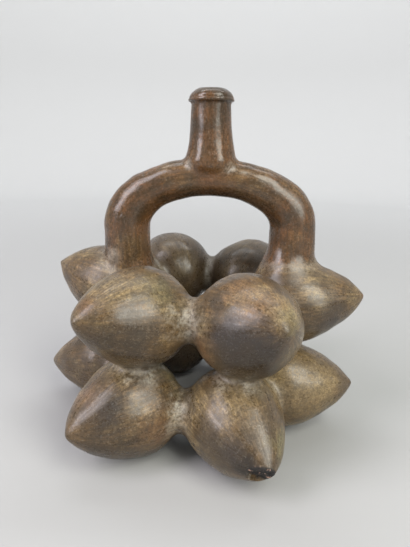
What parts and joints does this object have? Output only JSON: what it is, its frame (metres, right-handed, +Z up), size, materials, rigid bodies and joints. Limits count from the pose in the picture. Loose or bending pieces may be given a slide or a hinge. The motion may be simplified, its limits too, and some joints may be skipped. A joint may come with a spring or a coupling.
{
  "type": "stirrup-spout effigy vessel",
  "caption": "Hollow burnished-clay vessel shaped as pointed fruits in stacked rings, with an arched stirrup handle that carries a tapering spout.",
  "frame": {"origin": "on the surface that the vessel stands on, below the middle of its bounding box", "axes": "+Z up along the spout, X along the stirrup, which is the longest way across; -Y is the side seen in the picture"},
  "size_m": [0.2243, 0.1976, 0.22],
  "materials": {
    "burnished_clay": "burnished unglazed earthenware, satin, brown with orange and black fire clouds and pale deposits in the creases"
  },
  "bodies": {
    "root": {"stirrup_vessel": "burnished_clay"}
  },
  "joints": []
}
